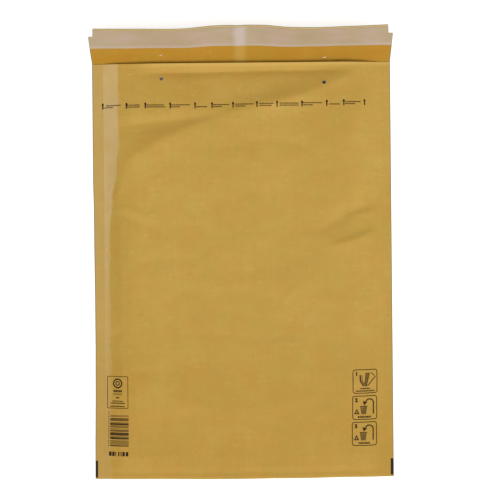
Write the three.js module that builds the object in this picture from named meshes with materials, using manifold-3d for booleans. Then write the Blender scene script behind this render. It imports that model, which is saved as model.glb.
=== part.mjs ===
// A padded envelope: one folded kraft sheet with a bubble-film pouch inside, lying on its back
// with the flap standing up. Millimetres, +X across the envelope, +Y towards the flap, +Z up.
// The origin is the middle of the back panel, on the surface that it lies on.

import * as THREE from 'three';
import { mergeVertices } from 'three/addons/utils/BufferGeometryUtils.js';
import Module from 'manifold-3d';

// Driving dimensions of the envelope
const WIDTH = 320;
const BODY = 445; // from the bottom fold to the edge of the mouth
const FLAP = 50; // flap length, measured along the paper
const SEAM = 10; // sealed strip down each side
const PAPER = 0.15;
const LINING = 2.6; // one wall of bubble film
const FILM = 0.4; // both walls of film melted together in a seam
const GAP = 0.3; // air between neighbouring pieces
const POCKET = 6.2; // clear height between the two walls of film

// How the front panel rises from its edges
const SHOULDER = 14; // width over which the film thickens beside a seam
const POCKET_INSET = 6; // from a seam to where the pocket starts
const SLIT = 0.3; // height of the pocket at its very edge
const SLIT_RAMP = 3;
const SIDE_RAMP = 26; // width over which the pocket opens, deep inside
const MOUTH_RAMP = 43; // the same at the mouth, which gapes like a lens
const MOUTH_SHIFT = 9; // the mouth gapes more to the right
const MOUTH_DEPTH = 70; // how far inside the gape has evened out
const LIP = 12; // the last stretch of paper before the mouth bends down
const LIP_DROP = 0.12; // share of the pocket height lost over the lip
const FOLD_FLAT = 4; // level stretch above the bottom fold
const FOLD_FILM = 0.6; // share of the film's thickness left at the bottom fold
const FOLD_SHOULDER = 14;
const FOLD_RAMP = 36;

// The flap, as angles from the floor
const HINGE_AHEAD = 2.5; // from the mouth edge to the crease that the flap turns on
const ROOT_ANGLE = 62;
const ROOT_LENGTH = 17;
const BEND_LENGTH = 3;
const LEANS = [[-160, 50], [-75, 53], [-10, 41.5], [22, 42], [70, 51], [95, 50.5], [160, 45]];
const NOTCH_START = 39; // along the flap, where its corners are cut narrower
const NOTCH_STEP = 4.7; // width taken off at the start of the notch
const NOTCH_TIP = 7; // width taken off at the flap's end

// Closure strip on the inside of the flap, as distances from the crease
const GLUE = { from: 28, to: 43, half: 150, thick: 0.15 };
const LINER = { from: 23.5, to: 47.5, half: 159.6, thick: 0.1 };

// Punched holes: x, and distance from the mouth or from the crease
const HOLE_RADIUS = 2;
const PANEL_HOLES = [[-85.5, 18], [88.5, 22]];
const FLAP_HOLES = [[-87, 12], [88, 12]];

// Printed marks, which lie on the front panel
const INK = 0.1;
const INK_LIFT = 0.1;
const LINE_Y = 177.6;
const TICKS = [-147.5, -122.7, -102.5, -75.9, -49.3, -31.2, -8.8, 16.7, 38, 64.6, 91.2, 109.4, 131.7];
const TICK = { width: 2.2, height: 6 };
const ROWS = { pitch: 1.9, height: 0.8 };
const FRAME_LINE = 0.9;
const FRAME_CORNER = 2;
const LABEL = { x: -134.4, y: -129, width: 22.2, height: 34.6 };
const LABEL_RING = { up: 9.2, radius: 4.2, line: 1.1 };
const LABEL_STRIPES = [[4.9, 0.8], [1.2, 1.8], [-3, 0.8], [-7.6, 1.4], [-11, 1.4], [-14.2, 1]];
const CODE = { x: -133.3, y: -169, width: 20, height: 32.6, spine: 0.9 };
const CODE_BARS = [1, 2.4, 1, 3.2, 1.4, 1, 2.4, 1, 3];
const DISPOSAL = { x: 128.8, width: 26.4, height: 26.2, ys: [-119.7, -147.5, -175.2] };
const CAPTION = { up: -9.3, height: 1.6 };
const BIN = { x: -0.6, foot: 5, rim: 7.4, height: 9.6, lid: 1.2 };
const SPREAD = { foot: 2.4, reach: 9, height: 15, core: 4.4 };
const NUMERAL = { x: -9.6, width: 2.8, height: 5, stroke: 0.9 };
const CORNER_BAR = { x: 158.3, width: 2.4, from: -218.6, to: -203 };

// Stations of the paper grid: distances in from the side edge, and from the mouth
const EDGE_STATIONS = [0, 5, 10, 14, 18, 24, 32, 43, 60, 84, 115, 138];
const MOUTH_STATIONS = [0, 4, 8, 13, 20, 31, 46, 66, 95, 140, 200, 270, 340, 385, 407, 420, 430,
  436, 441];
const FLAP_STATIONS = [0.8, 8, 17, 20, 27, 34, 42, 50];
const FOLD_STEPS = 6;
const CURVE_SEGMENTS = 3; // steps in each round corner of a printed mark
const CUT = 60; // length of the prisms and pins that cut the sheet

// Outline of the body
const HALF = WIDTH / 2;
const MOUTH_Y = BODY / 2;
const FOLD_Y = -BODY / 2;
const HINGE_Y = MOUTH_Y + HINGE_AHEAD;
const POCKET_HALF = HALF - SEAM - POCKET_INSET;
const SKIN = PAPER + GAP;

const wasm = await Module();
wasm.setup();

const envelope = new THREE.Group();

function clamp(value) {
  return Math.min(1, Math.max(0, value));
}

function smooth(value) {
  const t = clamp(value);
  return t * t * (3 - 2 * t);
}

function mix(a, b, t) {
  return a + (b - a) * t;
}

// Thickness of one wall of film: full in the middle, melted thin in the seams
function wallThickness(x, y) {
  const side = smooth((HALF - SEAM - Math.abs(x)) / SHOULDER);
  const end = mix(FOLD_FILM, 1, smooth((y - FOLD_Y - FOLD_FLAT) / FOLD_SHOULDER));
  return mix(FILM / 2, LINING, side * end);
}

// Clear height of the pocket between the walls
function pocketHeight(x, y) {
  const gape = 1 - smooth((MOUTH_Y - y) / MOUTH_DEPTH);
  const shift = x < 0 ? MOUTH_SHIFT : -MOUTH_SHIFT;
  const ramp = mix(SIDE_RAMP, MOUTH_RAMP + shift, gape);
  const inside = POCKET_HALF - Math.abs(x);
  const end = smooth((y - FOLD_Y - FOLD_FLAT) / FOLD_RAMP);
  const lip = 1 - LIP_DROP * (1 - smooth((MOUTH_Y - y) / LIP));
  const slit = SLIT * smooth(inside / SLIT_RAMP + 1);
  return slit + (POCKET - SLIT) * smooth(inside / ramp) * end * lip;
}

// Height of the front panel's outer face above the floor
function frontHeight(x, y) {
  return 2 * SKIN + 2 * wallThickness(x, y) + pocketHeight(x, y);
}

// Lean of the flap's upper part, in radians, along the wavy paper
function upperAngle(x) {
  const last = LEANS.findIndex(([at]) => x <= at);
  const [x1, a1] = LEANS[Math.max(last, 1)];
  const [x0, a0] = LEANS[Math.max(last, 1) - 1];
  return THREE.MathUtils.degToRad(mix(a0, a1, smooth((x - x0) / (x1 - x0))));
}

// A point of the flap's outer face, a distance along the paper from the crease
function flapPoint(x, along) {
  const root = THREE.MathUtils.degToRad(ROOT_ANGLE);
  const upper = upperAngle(x);
  const stretches = [
    [root, Math.min(along, ROOT_LENGTH)],
    [(root + upper) / 2, Math.min(Math.max(along - ROOT_LENGTH, 0), BEND_LENGTH)],
    [upper, Math.max(along - ROOT_LENGTH - BEND_LENGTH, 0)],
  ];
  const point = new THREE.Vector3(x, HINGE_Y, 0);
  for (const [angle, length] of stretches) {
    point.y += Math.cos(angle) * length;
    point.z += Math.sin(angle) * length;
  }
  return point;
}

// The flap's normal on the side that faces the mouth
function flapNormal(x, along) {
  const step = 0.5;
  const ahead = flapPoint(x, along + step).sub(flapPoint(x, along - step));
  const across = flapPoint(x + step, along).sub(flapPoint(x - step, along));
  return across.cross(ahead).normalize();
}

function columnPlaces(half, stations) {
  const left = stations.filter((inset) => inset < half).map((inset) => inset - half);
  return [...left, 0, ...left.map((x) => -x).reverse()];
}

// A closed body between two grids of points, which are rows of columns, with a rim round it
function closedSheet(inner, outer) {
  const rows = inner.length;
  const columns = inner[0].length;
  const positions = [...inner.flat(), ...outer.flat()].flatMap((p) => [p.x, p.y, p.z]);
  const at = (layer, row, column) => (layer * rows + row) * columns + column;
  const index = [];
  for (let r = 0; r + 1 < rows; r++) {
    for (let c = 0; c + 1 < columns; c++) {
      index.push(at(0, r, c), at(0, r, c + 1), at(0, r + 1, c + 1));
      index.push(at(0, r, c), at(0, r + 1, c + 1), at(0, r + 1, c));
      index.push(at(1, r, c), at(1, r + 1, c + 1), at(1, r, c + 1));
      index.push(at(1, r, c), at(1, r + 1, c), at(1, r + 1, c + 1));
    }
  }
  const rim = [];
  for (let c = 0; c + 1 < columns; c++) rim.push([0, c]);
  for (let r = 0; r + 1 < rows; r++) rim.push([r, columns - 1]);
  for (let c = columns - 1; c > 0; c--) rim.push([rows - 1, c]);
  for (let r = rows - 1; r > 0; r--) rim.push([r, 0]);
  rim.forEach(([r, c], i) => {
    const [nextR, nextC] = rim[(i + 1) % rim.length];
    index.push(at(0, nextR, nextC), at(0, r, c), at(1, r, c));
    index.push(at(0, nextR, nextC), at(1, r, c), at(1, nextR, nextC));
  });
  const geometry = new THREE.BufferGeometry();
  geometry.setAttribute('position', new THREE.Float32BufferAttribute(positions, 3));
  geometry.setIndex(index);
  return geometry;
}

function toSolid(geometry) {
  const bare = new THREE.BufferGeometry();
  bare.setAttribute('position', geometry.getAttribute('position'));
  if (geometry.index) bare.setIndex(geometry.index);
  const merged = mergeVertices(bare, 1e-4);
  const vertProperties = Float32Array.from(merged.getAttribute('position').array);
  const triVerts = Uint32Array.from(merged.index.array);
  return new wasm.Manifold(new wasm.Mesh({ numProp: 3, vertProperties, triVerts }));
}

function toGeometry(solid) {
  const mesh = solid.getMesh();
  const geometry = new THREE.BufferGeometry();
  geometry.setAttribute('position', new THREE.BufferAttribute(mesh.vertProperties, 3));
  geometry.setIndex(new THREE.BufferAttribute(mesh.triVerts, 1));
  geometry.computeVertexNormals();
  return geometry;
}

function addPiece(name, solid, color, roughness) {
  const material = new THREE.MeshStandardMaterial({ color, roughness, metalness: 0 });
  const mesh = new THREE.Mesh(toGeometry(solid), material);
  mesh.name = name;
  envelope.add(mesh);
}

// An upright prism over an outline in plan, from the floor to above the flap
function prism(shape) {
  const options = { depth: CUT, bevelEnabled: false, curveSegments: CURVE_SEGMENTS };
  return toSolid(new THREE.ExtrudeGeometry(shape, options));
}

function rectangle(x, y, width, height) {
  const shape = new THREE.Shape();
  shape.moveTo(x - width / 2, y - height / 2);
  shape.lineTo(x + width / 2, y - height / 2);
  shape.lineTo(x + width / 2, y + height / 2);
  shape.lineTo(x - width / 2, y + height / 2);
  shape.closePath();
  return shape;
}

function roundedRectangle(path, x, y, width, height, radius) {
  const [w, h] = [width / 2 - radius, height / 2 - radius];
  path.absarc(x + w, y - h, radius, -Math.PI / 2, 0, false);
  path.absarc(x + w, y + h, radius, 0, Math.PI / 2, false);
  path.absarc(x - w, y + h, radius, Math.PI / 2, Math.PI, false);
  path.absarc(x - w, y - h, radius, Math.PI, 1.5 * Math.PI, false);
  path.closePath();
  return path;
}

// A circle in two halves, so that it has a point at its lowest place
function circle(path, x, y, radius) {
  path.absarc(x, y, radius, -Math.PI / 2, Math.PI / 2, false);
  path.absarc(x, y, radius, Math.PI / 2, 1.5 * Math.PI, false);
  path.closePath();
  return path;
}

// The corners that are cut off the flap, as upright prisms left and right
function notchCutters() {
  const start = flapPoint(HALF, NOTCH_START).y;
  const beyond = flapPoint(0, FLAP).y + GAP;
  return [-1, 1].map((side) => {
    const shape = new THREE.Shape();
    shape.moveTo(side * (HALF + 1), start);
    shape.lineTo(side * (HALF - NOTCH_STEP), start);
    shape.lineTo(side * (HALF - NOTCH_TIP), beyond);
    shape.lineTo(side * (HALF + 1), beyond);
    shape.closePath();
    return prism(shape);
  });
}

// Round pins through the front panel and its film, which end inside the pocket
function panelHolePins() {
  return PANEL_HOLES.map(([x, inward]) => {
    const pin = new THREE.CylinderGeometry(HOLE_RADIUS, HOLE_RADIUS, CUT, 20);
    pin.rotateX(Math.PI / 2);
    pin.translate(x, MOUTH_Y - inward, SKIN + LINING + POCKET / 2 + CUT / 2);
    return toSolid(pin);
  });
}

// Half-round pins square to the flap's root
function flapHolePins() {
  return FLAP_HOLES.map(([x, along]) => {
    const half = new THREE.Shape();
    half.absarc(0, 0, HOLE_RADIUS, 0, Math.PI, false);
    half.closePath();
    const depth = 8;
    const pin = new THREE.ExtrudeGeometry(half, { depth, bevelEnabled: false, curveSegments: 8 });
    pin.translate(0, 0, -depth / 2);
    pin.rotateX(THREE.MathUtils.degToRad(ROOT_ANGLE));
    const at = flapPoint(x, along);
    pin.translate(at.x, at.y, at.z);
    return toSolid(pin);
  });
}

// The one sheet of kraft paper: down the front, round the bottom fold, up the back, out along
// the flap
function paperSleeve() {
  const columns = columnPlaces(HALF, EDGE_STATIONS);
  const front = MOUTH_STATIONS.map((inward) => columns.map((x) => {
    const y = MOUTH_Y - inward;
    return new THREE.Vector3(x, y, frontHeight(x, y));
  }));
  const fold = Array.from({ length: FOLD_STEPS + 1 }, (_, step) => columns.map((x) => {
    const radius = frontHeight(x, FOLD_Y + FOLD_FLAT) / 2;
    const turn = Math.PI * step / FOLD_STEPS;
    const y = FOLD_Y + radius * (1 - Math.sin(turn));
    return new THREE.Vector3(x, y, radius * (1 + Math.cos(turn)));
  }));
  const back = [FOLD_Y + LIP, 0, MOUTH_Y - LIP, HINGE_Y - PAPER].map((y) => (
    columns.map((x) => new THREE.Vector3(x, y, 0))));
  const flap = FLAP_STATIONS.map((along) => columns.map((x) => flapPoint(x, along)));
  const outer = [...front, ...fold, ...back, ...flap];
  const inner = outer.map((row, r) => row.map((point, c) => {
    const before = outer[Math.max(r - 1, 0)][c];
    const after = outer[Math.min(r + 1, outer.length - 1)][c];
    const left = row[Math.max(c - 1, 0)];
    const right = row[Math.min(c + 1, row.length - 1)];
    const along = after.clone().sub(before);
    const inward = right.clone().sub(left).cross(along).normalize();
    return point.clone().addScaledVector(inward, PAPER);
  }));
  let solid = toSolid(closedSheet(inner, outer));
  for (const cutter of [...notchCutters(), ...panelHolePins(), ...flapHolePins()]) {
    solid = solid.subtract(cutter);
  }
  return solid;
}

// A closed body between two heights over a grid in plan, whose rows run away from the mouth
function slab(xs, ys, low, high) {
  const grid = (height) => ys.map((y) => xs.map((x) => new THREE.Vector3(x, y, height(x, y))));
  return toSolid(closedSheet(grid(low), grid(high)));
}

// The space below a height, which levels the underside of what it is cut from
function spaceBelow(height) {
  const depth = CUT;
  const block = new THREE.BoxGeometry(2 * WIDTH, 2 * BODY, depth);
  block.translate(0, 0, height - depth / 2);
  return toSolid(block);
}

// The pouch of bubble film: its outside, less the pocket that runs out of the mouth
function bubbleLining() {
  const mouthInset = 3;
  const bottomInset = 4.5;
  const pocketInset = 9;
  const inside = MOUTH_STATIONS.filter((inward) => inward > mouthInset && inward < BODY - 6);
  const rows = inside.map((inward) => MOUTH_Y - inward);
  const ys = [MOUTH_Y - mouthInset, ...rows, FOLD_Y + bottomInset];
  const xs = columnPlaces(HALF - 1, EDGE_STATIONS.map((inset) => Math.max(inset - 1, 0)));
  const top = (x, y) => frontHeight(x, y) - SKIN;
  const outside = slab(xs, ys, () => 0, top).subtract(spaceBelow(SKIN));
  const beyond = MOUTH_Y + 1;
  const pocketYs = [beyond, ...ys.slice(0, -2), FOLD_Y + pocketInset];
  const pocketXs = [-POCKET_HALF, ...xs.filter((x) => Math.abs(x) < POCKET_HALF - 1), POCKET_HALF];
  const floor = (x, y) => SKIN + wallThickness(x, y);
  const ceiling = (x, y) => floor(x, y) + pocketHeight(x, y);
  let solid = outside.subtract(slab(pocketXs, pocketYs, floor, ceiling));
  for (const pin of panelHolePins()) {
    solid = solid.subtract(pin);
  }
  return solid;
}

// A ribbon along the inside of the flap, a distance off the paper
function flapRibbon({ from, to, half, thick }, off) {
  const columns = columnPlaces(half, EDGE_STATIONS.map((inset) => inset * half / HALF));
  const middle = FLAP_STATIONS.filter((along) => along > from + 1 && along < to - 1);
  const rows = [from, ...middle, to];
  const layer = (height) => rows.map((along) => columns.map((x) => (
    flapPoint(x, along).addScaledVector(flapNormal(x, along), height))));
  return toSolid(closedSheet(layer(off + thick), layer(off)));
}

function closureAdhesive() {
  return flapRibbon(GLUE, SKIN);
}

function releaseLiner() {
  let solid = flapRibbon(LINER, SKIN + GLUE.thick + 2 * GAP);
  for (const cutter of notchCutters()) {
    solid = solid.subtract(cutter);
  }
  return solid;
}

// A thin skin over the front panel, which a printed mark is cut from
function inkSkin() {
  const xs = columnPlaces(HALF, EDGE_STATIONS);
  const ys = MOUTH_STATIONS.map((inward) => MOUTH_Y - inward);
  const lifted = (lift) => (x, y) => frontHeight(x, y) + lift;
  return slab(xs, ys, lifted(INK_LIFT), lifted(INK_LIFT + INK));
}

function joined(shapes) {
  const solids = shapes.map(prism);
  return solids.slice(1).reduce((sum, solid) => sum.add(solid), solids[0]);
}

function ringFrame(x, y, width, height) {
  const frame = roundedRectangle(new THREE.Shape(), x, y, width, height, FRAME_CORNER);
  const [w, h] = [width - 2 * FRAME_LINE, height - 2 * FRAME_LINE];
  frame.holes.push(roundedRectangle(new THREE.Path(), x, y, w, h, FRAME_CORNER - FRAME_LINE));
  return frame;
}

// The tear line: upright arrows joined by two rows that stand for small print
function openingLine() {
  const arrows = TICKS.map((x) => {
    const { width, height } = TICK;
    const arrow = new THREE.Shape();
    arrow.moveTo(x - width / 4, LINE_Y - height / 2);
    arrow.lineTo(x + width / 4, LINE_Y - height / 2);
    arrow.lineTo(x + width / 4, LINE_Y + height / 6);
    arrow.lineTo(x + width / 2, LINE_Y + height / 6);
    arrow.lineTo(x, LINE_Y + height / 2);
    arrow.lineTo(x - width / 2, LINE_Y + height / 6);
    arrow.lineTo(x - width / 4, LINE_Y + height / 6);
    arrow.closePath();
    return arrow;
  });
  const [first, last] = [TICKS[0], TICKS[TICKS.length - 1]];
  const rows = [-1, 1].map((side) => {
    const y = LINE_Y + side * ROWS.pitch / 2 - TICK.height / 8;
    return rectangle((first + last) / 2, y, last - first, ROWS.height);
  });
  return joined([...arrows, ...rows]);
}

function labelMark() {
  const { x, y, width, height } = LABEL;
  const stripes = LABEL_STRIPES.map(([up, tall]) => rectangle(x, y + up, width - 1, tall));
  const { up, radius, line } = LABEL_RING;
  const ring = circle(new THREE.Shape(), x, y + up, radius);
  ring.holes.push(circle(new THREE.Path(), x, y + up, radius - line));
  return joined([ringFrame(x, y, width, height), ring, ...stripes]);
}

// A block of plain stripes on a spine
function codeBars() {
  const { x, y, width, height, spine } = CODE;
  const used = CODE_BARS.reduce((sum, tall) => sum + tall, 0);
  const space = (height - used) / (CODE_BARS.length - 1);
  const shapes = [rectangle(x - (width - spine) / 2, y, spine, height)];
  let top = y + height / 2;
  for (const tall of CODE_BARS) {
    shapes.push(rectangle(x, top - tall / 2, width, tall));
    top -= tall + space;
  }
  return joined(shapes);
}

// The plain numerals 1, 2 and 3, built of strokes that hang from the frame's upper line
function numeral(order, x, top) {
  const { width, height, stroke } = NUMERAL;
  const level = (up) => rectangle(x, top - height * up, width, stroke);
  const upright = (side, up, share) => (
    rectangle(x + side * (width - stroke) / 2, top - height * up, stroke, height * share));
  if (order === 0) return [upright(0, 0.5, 1)];
  const levels = [level(0.1), level(0.5), level(0.9)];
  if (order === 1) return [...levels, upright(1, 0.3, 0.5), upright(-1, 0.7, 0.5)];
  return [...levels, upright(1, 0.5, 0.9)];
}

function bin(x, ground) {
  const { foot, rim, height, lid } = BIN;
  const shape = new THREE.Shape();
  shape.moveTo(x - foot / 2, ground);
  shape.lineTo(x + foot / 2, ground);
  shape.lineTo(x + rim / 2, ground + height);
  shape.lineTo(x - rim / 2, ground + height);
  shape.closePath();
  return [shape, rectangle(x, ground + height, rim + 1.4, lid)];
}

// The layers of an envelope pulled apart: a dark core between two spread sheets
function spreadLayers(x, ground) {
  const { foot, reach, height, core } = SPREAD;
  const sheets = [-1, 1].map((side) => {
    const sheet = new THREE.Shape();
    sheet.moveTo(x - side * foot / 2, ground);
    sheet.lineTo(x + side * foot / 2, ground);
    sheet.lineTo(x + side * reach, ground + height * 0.8);
    sheet.lineTo(x + side * (reach - 1.2), ground + height * 0.86);
    sheet.closePath();
    return sheet;
  });
  const middle = new THREE.Shape();
  middle.moveTo(x - foot / 2, ground);
  middle.lineTo(x + foot / 2, ground);
  middle.lineTo(x + core / 2 + 0.6, ground + height);
  middle.lineTo(x - core / 2 + 0.6, ground + height);
  middle.closePath();
  return [...sheets, middle];
}

// One framed disposal picture, which stands on a bar in place of its caption
function disposalMark(order) {
  const { x, width, height, ys } = DISPOSAL;
  const y = ys[order];
  const ground = y + CAPTION.up;
  const picture = order === 0 ? spreadLayers(x, ground) : bin(x + BIN.x, ground);
  return joined([
    ringFrame(x, y, width, height),
    rectangle(x, ground, width - 1, CAPTION.height),
    ...picture,
    ...numeral(order, x + NUMERAL.x, y + height / 2 - FRAME_LINE / 2),
  ]);
}

function cornerBar(side) {
  const { x, width, from, to } = CORNER_BAR;
  return prism(rectangle(side * x, (from + to) / 2, width, to - from));
}

const KRAFT = 0xc09c4d;
const CLEAR_FILM = 0xd9dcd6;
const HOT_MELT = 0xcdb27a;
const LINER_FILM = 0xbba489;
const DARK_INK = 0x2a1608;

addPiece('paper_sleeve', paperSleeve(), KRAFT, 0.75);
addPiece('bubble_lining', bubbleLining(), CLEAR_FILM, 0.25);
addPiece('closure_adhesive', closureAdhesive(), HOT_MELT, 0.35);
addPiece('release_liner', releaseLiner(), LINER_FILM, 0.3);

const skin = inkSkin();
const marks = {
  opening_line_print: openingLine(),
  label_frame_print: labelMark(),
  code_bars_print: codeBars(),
  corner_bar_left_print: cornerBar(-1),
  corner_bar_right_print: cornerBar(1),
  disposal_print_1: disposalMark(0),
  disposal_print_2: disposalMark(1),
  disposal_print_3: disposalMark(2),
};
for (const [name, outline] of Object.entries(marks)) {
  addPiece(name, skin.intersect(outline), DARK_INK, 0.6);
}

export default envelope;
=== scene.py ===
import bisect
import math

import bmesh
import bpy
import numpy as np
from mathutils import Matrix, Vector, noise


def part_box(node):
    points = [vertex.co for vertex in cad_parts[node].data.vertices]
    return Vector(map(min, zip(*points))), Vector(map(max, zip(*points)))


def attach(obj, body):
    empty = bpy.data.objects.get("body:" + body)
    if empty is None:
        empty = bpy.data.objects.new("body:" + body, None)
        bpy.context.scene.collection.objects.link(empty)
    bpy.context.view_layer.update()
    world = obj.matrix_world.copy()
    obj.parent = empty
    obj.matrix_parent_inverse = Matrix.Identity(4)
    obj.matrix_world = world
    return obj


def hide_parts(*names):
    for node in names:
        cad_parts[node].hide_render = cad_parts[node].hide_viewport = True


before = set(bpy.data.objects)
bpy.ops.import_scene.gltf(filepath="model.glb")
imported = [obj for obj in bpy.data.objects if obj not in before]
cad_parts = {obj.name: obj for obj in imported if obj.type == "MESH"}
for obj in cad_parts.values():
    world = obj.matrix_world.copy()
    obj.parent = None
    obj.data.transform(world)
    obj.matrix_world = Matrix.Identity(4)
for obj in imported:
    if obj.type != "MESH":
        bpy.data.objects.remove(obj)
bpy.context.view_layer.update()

# A large kraft padded envelope on its back, with a pouch of bubble film inside and its flap
# standing up. Lengths are in millimetres until a finished mesh is scaled to metres.
MM = 0.001
sleeve_low, sleeve_high = (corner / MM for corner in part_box("paper_sleeve"))

# The sheet of paper and what lies between its panels
HALF = sleeve_high.x
FOLD_Y = sleeve_low.y
MOUTH_Y = -FOLD_Y
SEAM = 10
PAPER = 0.15
LINING = 2.6  # one wall of bubble film
FILM = 0.4  # both walls where they are melted together
GAP = 0.08  # between paper and film
SKIN = PAPER + GAP
BUBBLE_PITCH = 12.5
BUBBLE_RADIUS = 5.5
BUBBLE_SWELL = 0.05  # how far the bubbles show through the paper
SHOULDER = 22  # from a seam to where the film is full
POCKET = 5  # clear height between the walls
POCKET_HALF = HALF - SEAM - 6
SLIT = 0.3  # the clear height that is left at the pocket's sides
SLIT_RAMP = 3
SIDE_RAMP = 32  # from the pocket's side to its full height
MOUTH_RAMP = 43  # the same at the mouth, where it is longer at the left
MOUTH_SHIFT = 9
MOUTH_DEPTH = 70
FOLD_FLAT = 4  # depth of the bottom fold's round
FOLD_FILM = 0.6  # share of the film's thickness that is left at the bottom fold
FOLD_SHOULDER = 22
FOLD_RAMP = 110  # from the bottom fold to the pocket's full height
MOUTH_SINK = 0.8  # share of the pocket's height that is lost at the mouth
SINK_DEPTH = 80
MOUTH_FILM = 0.4  # share of the film's thickness that is left at the mouth
MOUTH_FILM_DEPTH = 55
SHEET_RISE = 0.44  # what the gaps between the solids add to the height of the panel

# The flap. ROOTS and LEANS hold a place across it and the angle from the floor there, for the
# stretch next to its crease and for the rest.
FLAP = 51
HINGE_Y = MOUTH_Y + 0.5
ROOT_LENGTH = 18
BEND_LENGTH = 3
ROOTS = [(-160, 56.4), (-60, 56), (-25, 50.5), (15, 50.5), (50, 56), (80, 54.5), (110, 52.3),
         (160, 52)]
LEANS = [(-160, 50), (-75, 53), (-10, 46.5), (22, 47), (70, 53), (95, 53), (160, 48.5)]
NOTCH_START = 40
NOTCH_STEP = 4.7
NOTCH_TIP = 7
# The strips on its inside: from and to along the flap, half length, thickness, and gap below
GLUE = {"start": 29, "end": 44, "half": 150, "thick": 0.15, "off": 0.06}
LINER = {"start": 24.5, "end": 48.7, "half": 159.6, "thick": 0.1, "off": 0.36}

# How the left edge and the bottom fold stray: place along the edge, and shift
LEFT_WANDER = [(-222, -0.3), (-186, -0.1), (-138, 0.6), (-80, 1), (-30, 1), (27, 0.65), (72, 0.5),
               (95, 0)]
FOLD_WANDER = [(-140, 0), (-87, -0.3), (-48, -0.9), (-9, -1.1), (30, -0.75), (68, -0.75), (107, 0)]

# Punched holes: place and radius in the panel, and place across and along the flap
PANEL_HOLES = [(-85.5, MOUTH_Y - 16.3, 1.95), (88.5, MOUTH_Y - 22, 2.2)]
FLAP_HOLES = [(-85.8, 14.4), (88.8, 8.6)]
CRESCENT = {"radius": 2, "inner": 1.1, "turn": 24}

# Creases in the front panel: height, width above and below the line, and the points that the
# line follows from left to right
CREASES = [
    (-2.9, (7, 16), [(-150, 150), (-138, 153), (-114, 157), (-87, 160), (-55, 162), (-28, 166),
                     (-8, 171), (4, 174)]),
    (3.0, (10, 17), [(-150, 80), (-134, 103), (-114, 124), (-87, 140), (-55, 154), (-17, 167), (22, 177),
                    (68, 184), (118, 187)]),
    (-0.8, (6, 8), [(-46, 131), (-20, 133), (3, 137), (30, 139), (62, 134), (86, 129)]),
    (2.8, (16, 9), [(0, 172), (22, 178), (52, 185), (84, 194), (111, 207), (140, 222)]),
    (0.7, (4, 5), [(-158, 69), (-141, 68), (-128, 67), (-109, 61), (-80, 52)]),
    (-0.9, (8, 7), [(-150, 60), (-128, 58), (-108, 52), (-84, 38)]),
    (0.7, (5, 5), [(-148, 73), (-135, 81), (-128, 94), (-126, 116)]),
    (2.1, (4.5, 8), [(88, 25), (104, 28), (115, 31), (125, 34), (141, 40), (156, 46)]),
    (-3.0, (14, 10), [(72, 38), (93, 49), (110, 59), (126, 66), (145, 74), (160, 80)]),
    (0.9, (4, 5), [(104, 55), (122, 59), (140, 62), (158, 63)]),
    (-0.5, (6, 6), [(-70, -66), (-4, -71), (64, -70)]),
    (0.7, (3, 3), [(38, -38), (52, -24), (60, -14)]),
    (0.5, (4, 4), [(22, -84), (39, -76), (60, -77)]),
    (-1.0, (8, 10), [(-132, -108), (-92, -108), (-52, -107)]),
    (-0.8, (3.2, 3.2), [(-158, -69), (-141, -69), (-126, -66)]),
    (0.6, (8, 8), [(-74, -8), (-20, -16), (22, -12), (64, -20)]),
    (-0.6, (10, 10), [(-46, 68), (10, 82), (74, 84)]),
    (0.6, (9, 9), [(-104, -128), (-40, -146), (20, -148), (90, -130)]),
    (-0.7, (7, 7), [(-134, 4), (-80, 14), (-24, 12)]),
]
PINCH = (-0.3, (1.6, 1.6), [(-163, 69.4), (-148, 69.6), (-130, 69)])  # a nick across the left seam
LIP_FOLD = (-2.1, (3.6, 5), [(-142, 212), (-110, 212.5), (-44, 213), (20, 214), (110, 214), (142, 215)])
LIP_RISE = 1.3  # how far the paper turns up over its last few millimetres
LIP_REACH = 6
LIP_LEFT = (-130, 45)  # where the lip's folds start at the left, and the length of their ease in
SEAM_GROOVE = (-0.12, 0.9)  # height and half width of the line where the seam is pressed
CREASE_POWER = 1.5  # 2 is a round hump, 1 a sharp fold
BOTTOM_RIDGE = (0.3, 13.5, 3)  # height, place above the fold, half width
BOTTOM_VALLEY = (-0.28, 6.6, 2)

# Printed marks
INK_LIFT = 0.07
INK_THICK = 0.03
LINE_Y = 177.6
LINE_BOW = [(-148, 0), (-31, -0.7), (65, 0), (109, 1.3), (131, 1.5)]  # how the line wanders
LINE_ROWS = (0.4, -1.7)  # how far its rows of small print lie above it
LINE_PRINT = 1.05  # height of the small print
TICKS = [-148.8, -122.7, -102.5, -75.9, -49.3, -31.2, -8.8, 16.7, 38, 64.6, 91.2, 109.4, 131.7]


def smooth(value):
    t = np.clip(value, 0, 1)
    return t * t * (3 - 2 * t)


def mix(a, b, t):
    return a + (b - a) * t


def wall_thickness(x, y):
    """One wall of bubble film: full in the middle, melted thin in the seams."""
    side = smooth((HALF - SEAM - np.abs(x)) / SHOULDER)
    end = mix(FOLD_FILM, 1, smooth((y - FOLD_Y - FOLD_FLAT) / FOLD_SHOULDER))
    mouth = mix(MOUTH_FILM, 1, smooth((MOUTH_Y - y) / MOUTH_FILM_DEPTH))
    return mix(FILM / 2, LINING, side * end * mouth)


def pocket_height(x, y):
    """Clear height between the two walls of film."""
    gape = 1 - smooth((MOUTH_Y - y) / MOUTH_DEPTH)
    shift = np.where(np.less(x, 0), MOUTH_SHIFT, -MOUTH_SHIFT)
    ramp = mix(SIDE_RAMP, MOUTH_RAMP + shift, gape)
    inside = POCKET_HALF - np.abs(x)
    end = smooth((y - FOLD_Y - FOLD_FLAT) / FOLD_RAMP)
    sink = 1 - MOUTH_SINK * (1 - smooth((MOUTH_Y - y) / SINK_DEPTH))
    slit = SLIT * smooth(inside / SLIT_RAMP + 1)
    return slit + (POCKET - SLIT) * smooth(inside / ramp) * end * sink


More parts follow.
